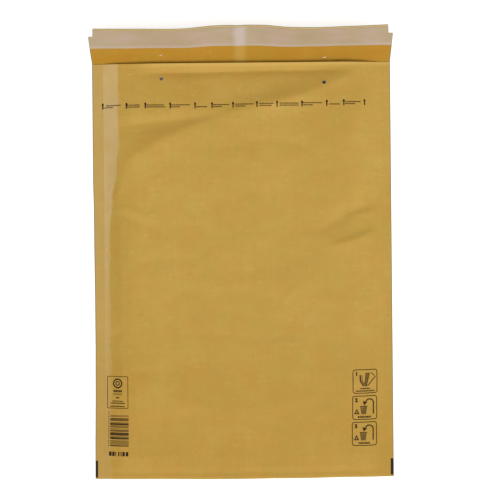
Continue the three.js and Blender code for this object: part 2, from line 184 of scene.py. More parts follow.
def crease(x, y, height, widths, points):
    """A crisp ridge or valley along a line of points, which fades towards both ends."""
    nearest = np.full(np.shape(x), np.inf)
    above = np.zeros(np.shape(x), dtype=bool)
    run = np.zeros(np.shape(x))
    start = 0
    for (ax, ay), (bx, by) in zip(points, points[1:]):
        dx, dy = bx - ax, by - ay
        length = math.hypot(dx, dy)
        share = np.clip(((x - ax) * dx + (y - ay) * dy) / length ** 2, 0, 1)
        distance = np.hypot(x - ax - share * dx, y - ay - share * dy)
        closer = distance < nearest
        nearest = np.where(closer, distance, nearest)
        above = np.where(closer, (y - ay) * dx > (x - ax) * dy, above)
        run = np.where(closer, start + share * length, run)
        start += length
    fade = smooth(run / start * 3.5) * smooth((1 - run / start) * 3.5)
    width = np.where(above, *widths)
    return height * np.exp(-((nearest / width) ** CREASE_POWER)) * fade


def bubble_imprint(x, y):
    """The rows of bubbles that the paper is drawn over, as a faint swell."""
    waves = [math.radians(angle) for angle in (0, 60, 120)]
    k = 2 * math.pi / (BUBBLE_PITCH * math.cos(math.radians(30)))
    return BUBBLE_SWELL * sum(np.cos(k * (x * math.cos(a) + y * math.sin(a))) for a in waves) / 3


def paper_waves(x, y):
    """Slow unevenness of a large sheet."""
    def wave(px, py):
        broad = noise.noise(Vector((px / 62, py / 48, 3.1)))
        fine = noise.noise(Vector((px / 21, py / 17, 8.4)))
        return 0.5 * broad + 0.12 * fine
    return np.vectorize(wave)(x, y)


def along_fold(y, height, place, width):
    """A low ridge or valley that runs along the bottom fold."""
    return height * np.exp(-(((y - FOLD_Y - place) / width) ** 2))


def front_surface(x, y):
    """Height of the front panel's outer face above the floor."""
    bulk = 2 * SKIN + 2 * wall_thickness(x, y) + pocket_height(x, y) + SHEET_RISE
    inside_seams = smooth((HALF - SEAM - np.abs(x)) / 16)
    free = inside_seams * smooth((y - FOLD_Y - 8) / 20)
    from_mouth = MOUTH_Y - y
    relief = paper_waves(x, y) * smooth(from_mouth / 6) + bubble_imprint(x, y)
    for line in CREASES:
        relief += crease(x, y, *line)
    open_share = smooth((POCKET_HALF - np.abs(x)) / MOUTH_RAMP)
    lip = crease(x, y, *LIP_FOLD) + LIP_RISE * (1 - smooth(from_mouth / LIP_REACH))
    depth, width = SEAM_GROOVE
    seam_line = depth * np.exp(-(((np.abs(x) - HALF + SEAM) / width) ** 2))
    lip_share = open_share * smooth((x - LIP_LEFT[0]) / LIP_LEFT[1])
    fold = (along_fold(y, *BOTTOM_RIDGE) + along_fold(y, *BOTTOM_VALLEY)) * inside_seams
    edge = SHEET_RISE * (1 - smooth((HALF - SEAM + 1 - np.abs(x)) / 10))
    details = lip * lip_share + seam_line + fold + crease(x, y, *PINCH)
    return bulk + relief * free + details - edge


def spaced(stations):
    """Places from the first station to the last, where each station is (place, step after)."""
    places = []
    for (place, step), (following, _) in zip(stations, stations[1:]):
        count = max(1, round(abs(following - place) / step))
        places += [mix(place, following, i / count) for i in range(count)]
    return places + [stations[-1][0]]


COLUMNS = spaced([(-HALF, 1.1), (-126, 2.55), (126, 1.1), (HALF, 1)])
ROWS = spaced([(FOLD_Y + FOLD_FLAT, 1.5), (-203, 2.3), (20, 1.9), (80, 2.1), (150, 1.9), (200, 1.15),
               (MOUTH_Y, 1)])
HEIGHTS = front_surface(*np.meshgrid(np.array(COLUMNS), np.array(ROWS)))


def panel_z(x, y):
    """Height of the front panel as its mesh has it."""
    i = min(max(bisect.bisect_right(COLUMNS, x) - 1, 0), len(COLUMNS) - 2)
    j = min(max(bisect.bisect_right(ROWS, y) - 1, 0), len(ROWS) - 2)
    u = min(max((x - COLUMNS[i]) / (COLUMNS[i + 1] - COLUMNS[i]), 0), 1)
    v = min(max((y - ROWS[j]) / (ROWS[j + 1] - ROWS[j]), 0), 1)
    low = mix(HEIGHTS[j, i], HEIGHTS[j, i + 1], u)
    high = mix(HEIGHTS[j + 1, i], HEIGHTS[j + 1, i + 1], u)
    return mix(low, high, v)


def angle_at(x, stations):
    """An angle in radians, eased between the places where it is given in degrees."""
    last = next((i for i, (at, _) in enumerate(stations) if x <= at), len(stations) - 1)
    (x0, a0), (x1, a1) = stations[max(last, 1) - 1], stations[max(last, 1)]
    return math.radians(mix(a0, a1, smooth((x - x0) / (x1 - x0))))


def flap_point(x, along):
    """A point of the flap's outer face, a distance along the paper from its crease."""
    root, upper = angle_at(x, ROOTS), angle_at(x, LEANS)
    stretches = [
        (root, min(along, ROOT_LENGTH)),
        ((root + upper) / 2, min(max(along - ROOT_LENGTH, 0), BEND_LENGTH)),
        (upper, max(along - ROOT_LENGTH - BEND_LENGTH, 0)),
    ]
    point = Vector((x, HINGE_Y, 0))
    for angle, length in stretches:
        point += Vector((0, math.cos(angle), math.sin(angle))) * length
    return point


def flap_normal(x, along):
    """The flap's normal on the side that faces the mouth."""
    step = 0.5
    ahead = flap_point(x, along + step) - flap_point(x, along - step)
    across = flap_point(x + step, along) - flap_point(x - step, along)
    return across.cross(ahead).normalized()


def flap_waves(x, along):
    """Unevenness of the flap, which grows towards its free edge."""
    loose = smooth(along / FLAP)
    ridge = 0.9 * math.exp(-(((x + 3) / 6) ** 2))
    ripple = 0.5 * noise.noise(Vector((x / 30, along / 40, 1.7)))
    return (ridge + ripple) * float(loose)


def sheet_point(x, place):
    """A point of the sleeve's outer face, where place is a stretch and a distance in it."""
    stretch, value = place
    if stretch == "front":
        return Vector((x, value, panel_z(x, value)))
    if stretch == "back":
        return Vector((x, value, 0))
    if stretch == "fold":
        radius = panel_z(x, FOLD_Y + FOLD_FLAT) / 2
        return Vector((x, FOLD_Y + radius * (1 - math.sin(value)), radius * (1 + math.cos(value))))
    return flap_point(x, value) + flap_normal(x, value) * flap_waves(x, value)


def sheet_rows():
    """Rows of the sleeve from the flap's edge, down the back, round the fold and up the front,
    each with its distance along the sheet."""
    flap = [("flap", along) for along in reversed(spaced([(0.8, 1.7), (FLAP, 1)]))]
    back = [("back", y) for y in spaced([(HINGE_Y - PAPER, 6), (MOUTH_Y - 12, 24), (FOLD_Y + 12, 1)])]
    steps = 12
    fold = [("fold", math.pi * (1 - step / steps)) for step in range(steps)]
    front = [("front", y) for y in ROWS]
    places = flap + back + fold + front
    middle = [sheet_point(0, place) for place in places]
    lengths = [0]
    for a, b in zip(middle, middle[1:]):
        lengths.append(lengths[-1] + (b - a).length)
    return list(zip(places, lengths))


SHEET_END = sheet_rows()[-1][1] / 100  # the sheet coordinate of the lip


def grid(columns, rows, place, uv=lambda x, row: (x, row)):
    """A sheet of quads over columns and rows, each vertex put in place by a function."""
    bm = bmesh.new()
    spans = len(columns) - 1, len(rows) - 1
    bmesh.ops.create_grid(bm, x_segments=spans[0], y_segments=spans[1], size=1)
    layer = bm.loops.layers.uv.new("sheet")
    where = {}
    for vertex in bm.verts:
        i, j = (round((vertex.co[axis] + 1) / 2 * spans[axis]) for axis in (0, 1))
        where[vertex] = columns[i], rows[j]
        vertex.co = place(columns[i], rows[j])
    for face in bm.faces:
        for loop in face.loops:
            loop[layer].uv = [value / 100 for value in uv(*where[loop.vert])]
    return bm


def wander(vertex):
    """Moves a point as the envelope's edges stray from straight lines."""
    x, y, _ = vertex.co
    beside, below = smooth((-x - 90) / 60), smooth((-y - 150) / 65)
    vertex.co.x += np.interp(y, *zip(*LEFT_WANDER)) * beside
    vertex.co.y += np.interp(x, *zip(*FOLD_WANDER)) * below


def make_piece(name, bm, materials, replaced=()):
    """A piece in metres that rides on the envelope, from a bmesh in millimetres."""
    for vertex in bm.verts:
        wander(vertex)
    bmesh.ops.scale(bm, vec=(MM, MM, MM), verts=bm.verts)
    mesh = bpy.data.meshes.new(name)
    bm.to_mesh(mesh)
    bm.free()
    piece = bpy.data.objects.new(name, mesh)
    bpy.context.scene.collection.objects.link(piece)
    for material in materials:
        mesh.materials.append(material)
    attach(piece, "root")
    if replaced:
        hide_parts(*replaced)
    return piece


def settle(piece, sharp=50):
    """Applies the piece's modifiers and smooths its shading up to an angle."""
    bpy.context.view_layer.update()
    graph = bpy.context.evaluated_depsgraph_get()
    mesh = bpy.data.meshes.new_from_object(piece.evaluated_get(graph))
    piece.modifiers.clear()
    piece.data = mesh
    mesh.shade_smooth()
    mesh.set_sharp_from_angle(angle=math.radians(sharp))
    return piece


def thicken(piece, thickness, inward=True, materials=0):
    solidify = piece.modifiers.new("thickness", "SOLIDIFY")
    solidify.thickness = thickness * MM
    solidify.offset = -1 if inward else 1
    solidify.use_even_offset = True
    solidify.material_offset = materials
    solidify.material_offset_rim = 2 * materials


def cut(piece, bm):
    """Cuts the bodies in a bmesh, which is in millimetres, out of the piece."""
    bmesh.ops.recalc_face_normals(bm, faces=bm.faces)
    bmesh.ops.scale(bm, vec=(MM, MM, MM), verts=bm.verts)
    mesh = bpy.data.meshes.new("cutter")
    bm.to_mesh(mesh)
    bm.free()
    cutter = bpy.data.objects.new("cutter", mesh)
    bpy.context.scene.collection.objects.link(cutter)
    boolean = piece.modifiers.new("cut", "BOOLEAN")
    boolean.operation = "DIFFERENCE"
    boolean.solver = "MANIFOLD"
    boolean.object = cutter
    return cutter


def panel_pins(bm):
    """Pins through the front panel and the wall of film under it."""
    low = SKIN + 0.75 * LINING
    for x, y, radius in PANEL_HOLES:
        turn = Matrix.Translation((x, y, low + 10))
        bmesh.ops.create_cone(bm, cap_ends=True, segments=20, radius1=radius, radius2=radius,
                              depth=20, matrix=turn)


def prism(bm, outline, matrix, depth):
    """A closed prism over an outline, on both sides of the plane that the matrix gives."""
    verts = [bm.verts.new(matrix @ Vector((x, y, -depth / 2))) for x, y in outline]
    face = bm.faces.new(verts)
    made = bmesh.ops.extrude_face_region(bm, geom=[face])["geom"]
    shift = matrix.to_3x3() @ Vector((0, 0, depth))
    bmesh.ops.translate(bm, vec=shift, verts=[v for v in made if isinstance(v, bmesh.types.BMVert)])


def flap_cutters(bm):
    """Crescents punched in the flap's root, and the corners cut off its end."""
    for x, along in FLAP_HOLES:
        turns = [math.pi * step / 10 for step in range(11)]
        wide = CRESCENT["radius"]
        outer = [(wide * math.cos(a), -wide * math.sin(a)) for a in turns]
        inner = [(wide * math.cos(a), -CRESCENT["inner"] * math.sin(a)) for a in reversed(turns[1:-1])]
        turned = Matrix.Rotation(angle_at(x, ROOTS), 4, "X")
        turned = turned @ Matrix.Rotation(math.radians(CRESCENT["turn"]), 4, "Z")
        place = Matrix.Translation(flap_point(x, along)) @ turned
        prism(bm, outer + inner, place, 6)
    for side in (-1, 1):
        start = flap_point(side * HALF, NOTCH_START).y
        beyond = flap_point(0, FLAP).y + 6
        outline = [(side * (HALF + 3), start), (side * (HALF - NOTCH_STEP), start),
                   (side * (HALF - NOTCH_TIP), beyond), (side * (HALF + 3), beyond)]
        prism(bm, outline, Matrix.Translation((0, 0, 30)), 60)


def kraft_sleeve(materials):
    """The one sheet of kraft paper: front, bottom fold, back and flap."""
    rows = sheet_rows()
    bm = grid(COLUMNS, rows, lambda x, row: sheet_point(x, row[0]), lambda x, row: (x, row[1]))
    piece = make_piece("kraft_sleeve", bm, materials, ["paper_sleeve"])
    thicken(piece, PAPER, materials=1)
    cutters = bmesh.new()
    panel_pins(cutters)
    flap_cutters(cutters)
    cutter = cut(piece, cutters)
    settle(piece)
    bpy.data.objects.remove(cutter)
    return piece


def flap_ribbon(name, shape, materials, replaced, ripple):
    """A ribbon along the inside of the flap, a distance off the paper."""
    columns = spaced([(-shape["half"], 1.5), (-120, 2.4), (120, 1.5), (shape["half"], 1)])
    rows = spaced([(shape["start"], 2), (shape["end"], 1)])

    def place(x, along):
        return flap_point(x, along) + flap_normal(x, along) * (
            flap_waves(x, along) + PAPER + shape["off"] + ripple(x, along))

    bm = grid(columns, rows, place)
    piece = make_piece(name, bm, materials, replaced)
    thicken(piece, shape["thick"], inward=False)
    return piece


def adhesive_strip(material):
    def ripple(x, along):
        return 0.05 * noise.noise(Vector((x / 4, along / 4, 5)))
    piece = flap_ribbon("adhesive_strip", GLUE, [material],
                        ["closure_adhesive"], ripple)
    return settle(piece)


def liner_strip(material):
    def ripple(x, along):
        end = 1.2 * float(smooth((abs(x) - 149) / 14)) ** 2
        return 0.08 * noise.noise(Vector((x / 9, along / 14, 2))) + end * 0.4
    piece = flap_ribbon("liner_strip", LINER, [material],
                        ["release_liner"], ripple)
    cutters = bmesh.new()
    flap_cutters(cutters)
    cutter = cut(piece, cutters)
    settle(piece)
    bpy.data.objects.remove(cutter)
    return piece


# The bubble film
POUCH_HALF = HALF - 1
POUCH_LOW = FOLD_Y + 4.5
POUCH_HIGH = MOUTH_Y - 8


def bubble_cell(bm):
    """One bubble: a hexagon of film whose middle is blown up to a height of 1."""
    radius = BUBBLE_PITCH / math.sqrt(3)
    bmesh.ops.create_circle(bm, cap_ends=True, segments=6, radius=radius)
    bmesh.ops.subdivide_edges(bm, edges=bm.edges[:], cuts=1)
    cap = bm.faces[:][0]
    bmesh.ops.inset_individual(bm, faces=[cap], thickness=0.7)
    for vertex in cap.verts:
        vertex.co = vertex.co.normalized() * BUBBLE_RADIUS
    for thickness, depth in ((0.45, 0.6), (1.3, 0.34), (1.6, 0.06)):
        bmesh.ops.inset_individual(bm, faces=[cap], thickness=thickness, depth=depth)


def repeat(bm, count, step):
    bmesh.ops.spin(bm, geom=bm.verts[:] + bm.edges[:] + bm.faces[:], angle=0, steps=count - 1,
                   dvec=step, axis=(0, 0, 1), cent=(0, 0, 0), use_duplicate=True)


def trim(bm, place, normal):
    bmesh.ops.bisect_plane(bm, geom=bm.verts[:] + bm.edges[:] + bm.faces[:], plane_co=place,
                           plane_no=normal, clear_outer=True)


def film_wall():
    """A flat wall of film with its bubbles upwards, and z = -1 on its smooth side."""
    bm = bmesh.new()
    bubble_cell(bm)
    across = math.ceil(2 * POUCH_HALF / BUBBLE_PITCH) + 2
    row_step = BUBBLE_PITCH * math.sqrt(3) / 2
    pairs = math.ceil((POUCH_HIGH - POUCH_LOW) / (2 * row_step)) + 1
    repeat(bm, across, (BUBBLE_PITCH, 0, 0))
    repeat(bm, 2, (BUBBLE_PITCH / 2, row_step, 0))
    repeat(bm, pairs, (0, 2 * row_step, 0))
    bmesh.ops.translate(bm, vec=(-across * BUBBLE_PITCH / 2, POUCH_LOW, 0), verts=bm.verts)
    bmesh.ops.remove_doubles(bm, verts=bm.verts, dist=0.02)
    for place, normal in [((POUCH_HALF, 0, 0), (1, 0, 0)), ((-POUCH_HALF, 0, 0), (-1, 0, 0)),
                          ((0, POUCH_HIGH, 0), (0, 1, 0)), ((0, POUCH_LOW, 0), (0, -1, 0))]:
        trim(bm, place, normal)
    rim = [edge for edge in bm.edges if edge.is_boundary]
    made = bmesh.ops.extrude_edge_only(bm, edges=rim)["geom"]
    for vertex in made:
        if isinstance(vertex, bmesh.types.BMVert):
            vertex.co.z = -1
    lower_rim = [edge for edge in bm.edges if edge.is_boundary]
    bmesh.ops.contextual_create(bm, geom=lower_rim)
    cuts = [((x, 0, 0), (1, 0, 0)) for x in [*range(-120, 121, 24), -150, -143, -136, 136, 143, 150]]
    cuts += [((0, y, 0), (0, 1, 0)) for y in [*range(-180, 211, 26), FOLD_Y + 12, FOLD_Y + 24]]
    for place, normal in cuts:
        back = [f for f in bm.faces if all(v.co.z < -0.9 for v in f.verts)]
        parts = set(back) | {e for f in back for e in f.edges} | {v for f in back for v in f.verts}
        bmesh.ops.bisect_plane(bm, geom=list(parts), plane_co=place, plane_no=normal)
    return bm


def lowest_near(x, y):
    """The lowest height of the front panel within a few millimetres of a place."""
    reach = 3
    steps = ((0, 0), (reach, 0), (-reach, 0), (0, reach), (0, -reach))
    return min(panel_z(x + dx, y + dy) for dx, dy in steps)


def bubble_pouch(material):
    """Two walls of bubble film, sealed at the sides and joined at the bottom."""
    bm = film_wall()
    upper = bm.verts[:]
    copy = bmesh.ops.duplicate(bm, geom=bm.verts[:] + bm.edges[:] + bm.faces[:])["geom"]
    lower = [v for v in copy if isinstance(v, bmesh.types.BMVert)]
    for vertices, sign in ((upper, 1), (lower, -1)):
        for vertex in vertices:
            x, y, share = vertex.co
            thick = float(wall_thickness(x, y))
            depth = thick if share < -0.5 else (thick - FILM / 2) * (1 - share)
            paper = lowest_near(x, y) - SKIN if sign > 0 else SKIN
            vertex.co.z = paper - sign * depth
    bmesh.ops.recalc_face_normals(bm, faces=bm.faces)
    piece = make_piece("bubble_pouch", bm, [material], ["bubble_lining"])
    cutters = bmesh.new()
    panel_pins(cutters)
    cutter = cut(piece, cutters)
    settle(piece, sharp=70)
    bpy.data.objects.remove(cutter)
    return piece


def bar(bm, x, y, width, height):
    place = Matrix.Translation((x, y, 0)) @ Matrix.Diagonal((width / 2, height / 2, 1, 1))
    bmesh.ops.create_grid(bm, x_segments=1, y_segments=1, size=1, matrix=place)


def polygon(bm, points):
    face = bm.faces.new([bm.verts.new((x, y, 0)) for x, y in points])
    face.normal_update()
    return face


def hollow(bm, face, line):
    """Leaves only a line of the given width round the face."""
    bmesh.ops.inset_individual(bm, faces=[face], thickness=line, use_even_offset=True)
    bmesh.ops.delete(bm, geom=[face], context="FACES")


def frame_line(bm, x, y, width, height, line, radius):
    """A rectangle with round corners, drawn as a line."""
    w, h = width / 2 - radius, height / 2 - radius
    points = []
    for quarter, (sx, sy) in enumerate(((1, 1), (-1, 1), (-1, -1), (1, -1))):
        for step in range(6):
            turn = math.pi / 2 * (quarter + step / 5)
            points.append((x + sx * w + radius * math.cos(turn), y + sy * h + radius * math.sin(turn)))
    hollow(bm, polygon(bm, points), line)


def ring(bm, x, y, radius, line):
    turns = [2 * math.pi * step / 24 for step in range(24)]
    points = [(x + radius * math.cos(a), y + radius * math.sin(a)) for a in turns]
    hollow(bm, polygon(bm, points), line)


def numeral(bm, body, x, y, height):
    """A plain numeral, centred on a place."""
    curve = bpy.data.curves.new("numeral", "FONT")
    curve.body = body
    curve.size = height / 0.7
    curve.align_x = "CENTER"
    curve.align_y = "CENTER"
    curve.offset = 0.36
    text = bpy.data.objects.new("numeral", curve)
    bpy.context.scene.collection.objects.link(text)
    bpy.context.view_layer.update()
    mesh = bpy.data.meshes.new_from_object(text)
    mesh.transform(Matrix.Translation((x, y, 0)))
    bm.from_mesh(mesh)
    bpy.data.objects.remove(text)
    bpy.data.meshes.remove(mesh)


def print_mark(name, bm, material, replaced=()):
    """Lays flat outlines on the front panel as a skin of ink that follows its facets."""
    for axis, places in ((0, COLUMNS), (1, ROWS)):
        low = min(v.co[axis] for v in bm.verts)
        high = max(v.co[axis] for v in bm.verts)
        normal = Vector((1 - axis, axis, 0))
        for place in places:
            if low < place < high:
                bmesh.ops.bisect_plane(bm, geom=bm.verts[:] + bm.edges[:] + bm.faces[:],
                                       plane_co=normal * place, plane_no=normal)
    for face in bm.faces:
        if face.normal.z < 0:
            face.normal_flip()
    for vertex in bm.verts:
        vertex.co.z = panel_z(vertex.co.x, vertex.co.y) + INK_LIFT
    piece = make_piece(name, bm, [material], replaced)
    thicken(piece, INK_THICK, inward=False)
    return settle(piece)


def small_print(bm, x, y, length, height):
    """A line of small print, kept to plain dashes of uneven length."""
    dashes = (0.9, 1.3, 0.7, 1.1, 1.6, 0.8, 1.2)
    gap = 0.32
    at, index = x, round(x * 3 + y)
    while at < x + length - 0.5:
        dash = min(dashes[index % len(dashes)], x + length - at)
        bar(bm, at + dash / 2, y, dash, height)
        at += dash + gap
        index += 1


# Small print between the arrows of the tear line: start and end of the upper and lower row
TEAR_ROWS = [
    ((-145, -129), (-148, -137.5)), ((-123.5, -108.5), (-123.5, -108.5)),
    ((-102, -82.8), (-102, -80.6)), ((-76.2, -54.8), (-76.2, -64.5)),
    (None, (-48.3, -36.5)), ((-30, -12.9), (-30, -20.4)), ((-6.4, 13), (-6.4, 4.3)),
    ((19.3, 34.4), (19.3, 32.2)), ((40.8, 61.2), (40.8, 61.2)), ((65.5, 86), (65.5, 76.3)),
    (None, (93.5, 105.3)), ((110.6, 127.9), (110.6, 121.4)),
]


def line_y(x):
    return LINE_Y + float(np.interp(x, *zip(*LINE_BOW)))


def tear_line(material):
    """Nail-like arrows joined by rows of small print, across the front below the mouth."""
    bm = bmesh.new()
    for x in TICKS:
        y = line_y(x)
        polygon(bm, [(x - 1.4, y + 1.1), (x + 1.4, y + 1.1), (x + 0.5, y + 3.1), (x - 0.5, y + 3.1)])
        polygon(bm, [(x - 0.7, y + 1.1), (x - 0.55, y - 3.4), (x + 0.55, y - 3.4), (x + 0.7, y + 1.1)])
    for upper, lower in TEAR_ROWS:
        for row, up in zip((upper, lower), LINE_ROWS):
            if row:
                small_print(bm, row[0], line_y(sum(row) / 2) + up, row[1] - row[0], LINE_PRINT)
    return print_mark("tear_line_print", bm, material, ["opening_line_print"])


LABEL = {"x": -135.75, "y": -129, "width": 23.5, "height": 34.6, "ring": 9.6}
# Its rows of small print: start, height above the label's middle, length and height
LABEL_ROWS = [(-4.8, 1.4, 9.6, 2.4), (-5.2, -1.8, 10.4, 0.8), (-1.9, -5.7, 3.8, 1.6),
              (-5.8, -9.4, 11.6, 1), (-8, -11.6, 16, 1.2), (-8.2, -15, 16.4, 1.2)]


def label_mark(material):
    """A framed label with a plain double ring and dashes."""
    bm = bmesh.new()
    x, y = LABEL["x"], LABEL["y"]
    frame_line(bm, x, y, LABEL["width"], LABEL["height"], 0.6, 1.3)
    ring(bm, x, y + LABEL["ring"], 5.3, 1.4)
    ring(bm, x, y + LABEL["ring"], 2.5, 1)
    for left, up, length, height in LABEL_ROWS:
        small_print(bm, x + left, y + up, length, height)
    return print_mark("label_print", bm, material, ["label_frame_print"])


# The block of stripes: its place, and each stripe's distance from the top and its height
CODE = {"x": -133.9, "top": -153.6, "width": 20.4, "fine": 0.42}
CODE_BARS = [(3.4, 0.75), (4.5, 0.75), (5.6, 0.75), (8.9, 0.9), (9.95, 0.9), (12.5, 0.9),
             (15.9, 0.7), (17, 0.7), (18.9, 0.9), (20, 0.95), (21.1, 0.9), (24, 0.95),
             (25.1, 0.95), (32.6, 1.1)]
FINE_BARS = [0.2, 1.3, 7.7, 11.2, 14.4, 22.8, 27, 28, 29, 30, 31]
SIDE_DASHES = {"x": -145.6, "top": -150.4, "count": 15, "step": 2.55, "width": 1.2, "height": 0.9}
# The strokes under the block: start and middle, height, and each stroke's width and gap after
STROKES = {"x": -145.3, "y": -195, "height": 4.6}
STROKE_WIDTHS = [(2.8, 0.8), (2.5, 0.7), (0.9, 2.4), (1.4, 1.2), (1.1, 0.9), (2.7, 1), (2.7, 0)]


def code_mark(material):
    """A block of plain stripes with a column of dashes beside it."""
    bm = bmesh.new()
    for down, tall in CODE_BARS + [(down, CODE["fine"]) for down in FINE_BARS]:
        bar(bm, CODE["x"], CODE["top"] - down, CODE["width"], tall)
    dash = SIDE_DASHES
    for step in range(dash["count"]):
        bar(bm, dash["x"], dash["top"] - step * dash["step"], dash["width"], dash["height"])
    return print_mark("code_print", bm, material, ["code_bars_print"])


def size_mark(material):
    """Plain upright strokes under the block of stripes."""
    bm = bmesh.new()
    x = STROKES["x"]
    for width, gap in STROKE_WIDTHS:
        bar(bm, x + width / 2, STROKES["y"], width, STROKES["height"])
        x += width + gap
    return print_mark("size_strokes_print", bm, material)


CORNER_BAR_Y = -211.7
CORNER_BAR_IN = 0.15  # from the cut edge to the ink


def corner_bar(name, side, width, height, material, replaced):
    """A dark bar beside the bottom corner, up against the cut edge."""
    bm = bmesh.new()
    bar(bm, side * (HALF - CORNER_BAR_IN - width / 2), CORNER_BAR_Y, width, height)
    return print_mark(name, bm, material, [replaced])


# The disposal pictures: size, corner radius and line of their frames, numeral, and middles
DISPOSAL = {"width": 27.1, "height": 25.8, "radius": 2.8, "line": 0.8, "numeral": 3.9}
DISPOSAL_PLACES = [(129.4, -119.4), (128.9, -147.5), (128.4, -175.5)]
RIB_SHARES = (0.17, 0.83)  # the part of each rib's place that is inked


def ribbed(bm, left, right, heights, count):
    """A block drawn in upright ribs, given its left and right edge at the bottom and the top."""
    for rib in range(count):
        share = [(rib + offset) / count for offset in RIB_SHARES]
        low = [(mix(left[0], right[0], t), heights[0]) for t in share]
        high = [(mix(left[1], right[1], t), heights[1]) for t in reversed(share)]
        polygon(bm, low + high)


def stroke(bm, points, width):
    """A line of even width through points, with mitred corners."""
    outline = []
    for way in (points, points[::-1]):
        for i, (x, y) in enumerate(way):
            before, after = way[max(i - 1, 0)], way[min(i + 1, len(way) - 1)]
            dx, dy = after[0] - before[0], after[1] - before[1]
            length = math.hypot(dx, dy)
            outline.append((x + dy / length * width / 2, y - dx / length * width / 2))
    polygon(bm, outline)


def spread_layers(bm, x, y):
    """The layers of an envelope pulled apart: a ribbed core between two bent sheets."""
    ribbed(bm, (x - 1.3, x + 0.4), (x + 1.8, x + 5.5), (y - 5.4, y + 9.2), 5)
    stroke(bm, [(x - 1.9, y - 4.8), (x - 5.2, y + 0.8), (x - 5.4, y + 6.8)], 1.5)
    stroke(bm, [(x - 1.2, y - 3), (x - 3.4, y + 1.6), (x - 3.2, y + 6.4)], 0.7)
    stroke(bm, [(x + 2.6, y - 4.8), (x + 11.4, y + 4.9), (x + 6.6, y + 9.2)], 0.9)


def bin_and_arrow(bm, x, y):
    """A bin, an arrow that goes up and over into it, and a small triangle."""
    ribbed(bm, (x - 3.9, x - 5), (x + 1.3, x + 2.3), (y - 7.1, y + 0.6), 6)
    bar(bm, x - 1.3, y + 1.4, 8, 0.9)
    arc = [(x + 9.3, y - 6.8), (x + 9.5, y + 2)]
    for step in range(9):
        turn = math.pi * 0.86 * step / 8
        arc.append((x + 5.1 + 4.4 * math.cos(turn), y + 5 + 4.2 * math.sin(turn)))
    stroke(bm, arc, 1.3)
    polygon(bm, [(x - 0.8, y + 2.3), (x + 2.9, y + 6.2), (x - 2.4, y + 7)])
    triangle = polygon(bm, [(x - 11.6, y - 6.8), (x - 5.9, y - 6.8), (x - 8.7, y - 1)])
    hollow(bm, triangle, 1.1)


def disposal_mark(order, material):
    """One framed disposal picture with its numeral and rows of dashes."""
    bm = bmesh.new()
    x, y = DISPOSAL_PLACES[order]
    frame_line(bm, x, y, DISPOSAL["width"], DISPOSAL["height"], DISPOSAL["line"], DISPOSAL["radius"])
    numeral(bm, str(order + 1), x - 9.2, y + 8, DISPOSAL["numeral"])
    if order == 0:
        spread_layers(bm, x, y)
        small_print(bm, x - 5.2, y - 7.6, 10.6, 1.3)
        small_print(bm, x - 10, y - 10.2, 20.2, 1.3)
    else:
        bin_and_arrow(bm, x, y)
        small_print(bm, x - 8.6 + order, y - 9.9, 16.5 - 2 * order, 1.9)
    return print_mark(f"disposal_mark_{order + 1}", bm, material, [f"disposal_print_{order + 1}"])


def hole_burr(name, x, y, radius, material):
    """The paper round a hole, part of it pressed inwards and part raised by the punch."""
    bm = bmesh.new()
    section = [(radius * 0.84, -1.1), (radius * 0.92, -0.5), (radius, 0.05), (radius + 0.18, 0.3),
               (radius + 0.45, 0.26), (radius + 0.75, 0.1), (radius + 1.1, 0.02)]
    verts = [bm.verts.new((distance, 0, up)) for distance, up in section]
    edges = [bm.edges.new(pair) for pair in zip(verts, verts[1:])]
    bmesh.ops.spin(bm, geom=verts + edges, angle=2 * math.pi, steps=24, axis=(0, 0, 1),
                   cent=(0, 0, 0), use_merge=True)
    bmesh.ops.remove_doubles(bm, verts=bm.verts, dist=0.001)
    for vertex in bm.verts:
        px, py = x + vertex.co.x, y + vertex.co.y
        vertex.co = Vector((px, py, panel_z(px, py) + vertex.co.z + 0.02))
    bmesh.ops.recalc_face_normals(bm, faces=bm.faces)
    for face in bm.faces:
        if face.normal.z < 0:
            face.normal_flip()
    piece = make_piece(name, bm, [material])
    thicken(piece, 0.08)
    return settle(piece)


def add_node(tree, kind, settings=None, **inputs):
    """A shader node. An input is a value or another node's output."""
    made = tree.nodes.new("ShaderNode" + kind)
    for key, value in (settings or {}).items():
        setattr(made, key, value)
    for key, value in inputs.items():
        index = int(key[1:]) if key[0] == "_" else key
        if isinstance(value, bpy.types.NodeSocket):
            tree.links.new(value, made.inputs[index])
        else:
            made.inputs[index].default_value = value
    return made.outputs[0]


def start_material(name, color, roughness, **sockets):
    """A material with its own Principled shader, and that shader."""
    material = bpy.data.materials.new(name)
    material.use_nodes = True
    shader = material.node_tree.nodes["Principled BSDF"]
    shader.inputs["Base Color"].default_value = (*color, 1)
    shader.inputs["Roughness"].default_value = roughness
    for key, value in sockets.items():
        shader.inputs[key.replace("_", " ")].default_value = value
    return material, material.node_tree, shader


def noise_at(tree, vector, scale, detail=3, rough=0.5):
    return add_node(tree, "TexNoise", Vector=vector, Scale=scale, Detail=detail, Roughness=rough)


def stretched(tree, vector, scale):
    return add_node(tree, "Mapping", Vector=vector, Scale=scale)


def math_of(tree, operation, a, b):
    return add_node(tree, "Math", {"operation": operation}, _0=a, _1=b)


def product(tree, values):
    total = values[0]
    for value in values[1:]:
        total = math_of(tree, "MULTIPLY", total, value)
    return total


def weighted(tree, parts):
    """The sum of noises, each brought round zero and weighted, plus a half."""
    total = 0.5
    for socket, weight in parts:
        level = math_of(tree, "SUBTRACT", socket, 0.5)
        total = math_of(tree, "ADD", math_of(tree, "MULTIPLY", level, weight), total)
    return total


def ramp(tree, value, stops):
    made = tree.nodes.new("ShaderNodeValToRGB")
    tree.links.new(value, made.inputs[0])
    elements = made.color_ramp.elements
    while len(elements) < len(stops):
        elements.new(0.5)
    for element, (place, color) in zip(elements, stops):
        element.position = place
        element.color = (*color, 1)
    return made.outputs[0]


def blend_colors(tree, share, first, second):
    return add_node(tree, "MixRGB", Fac=share, Color1=first, Color2=second)


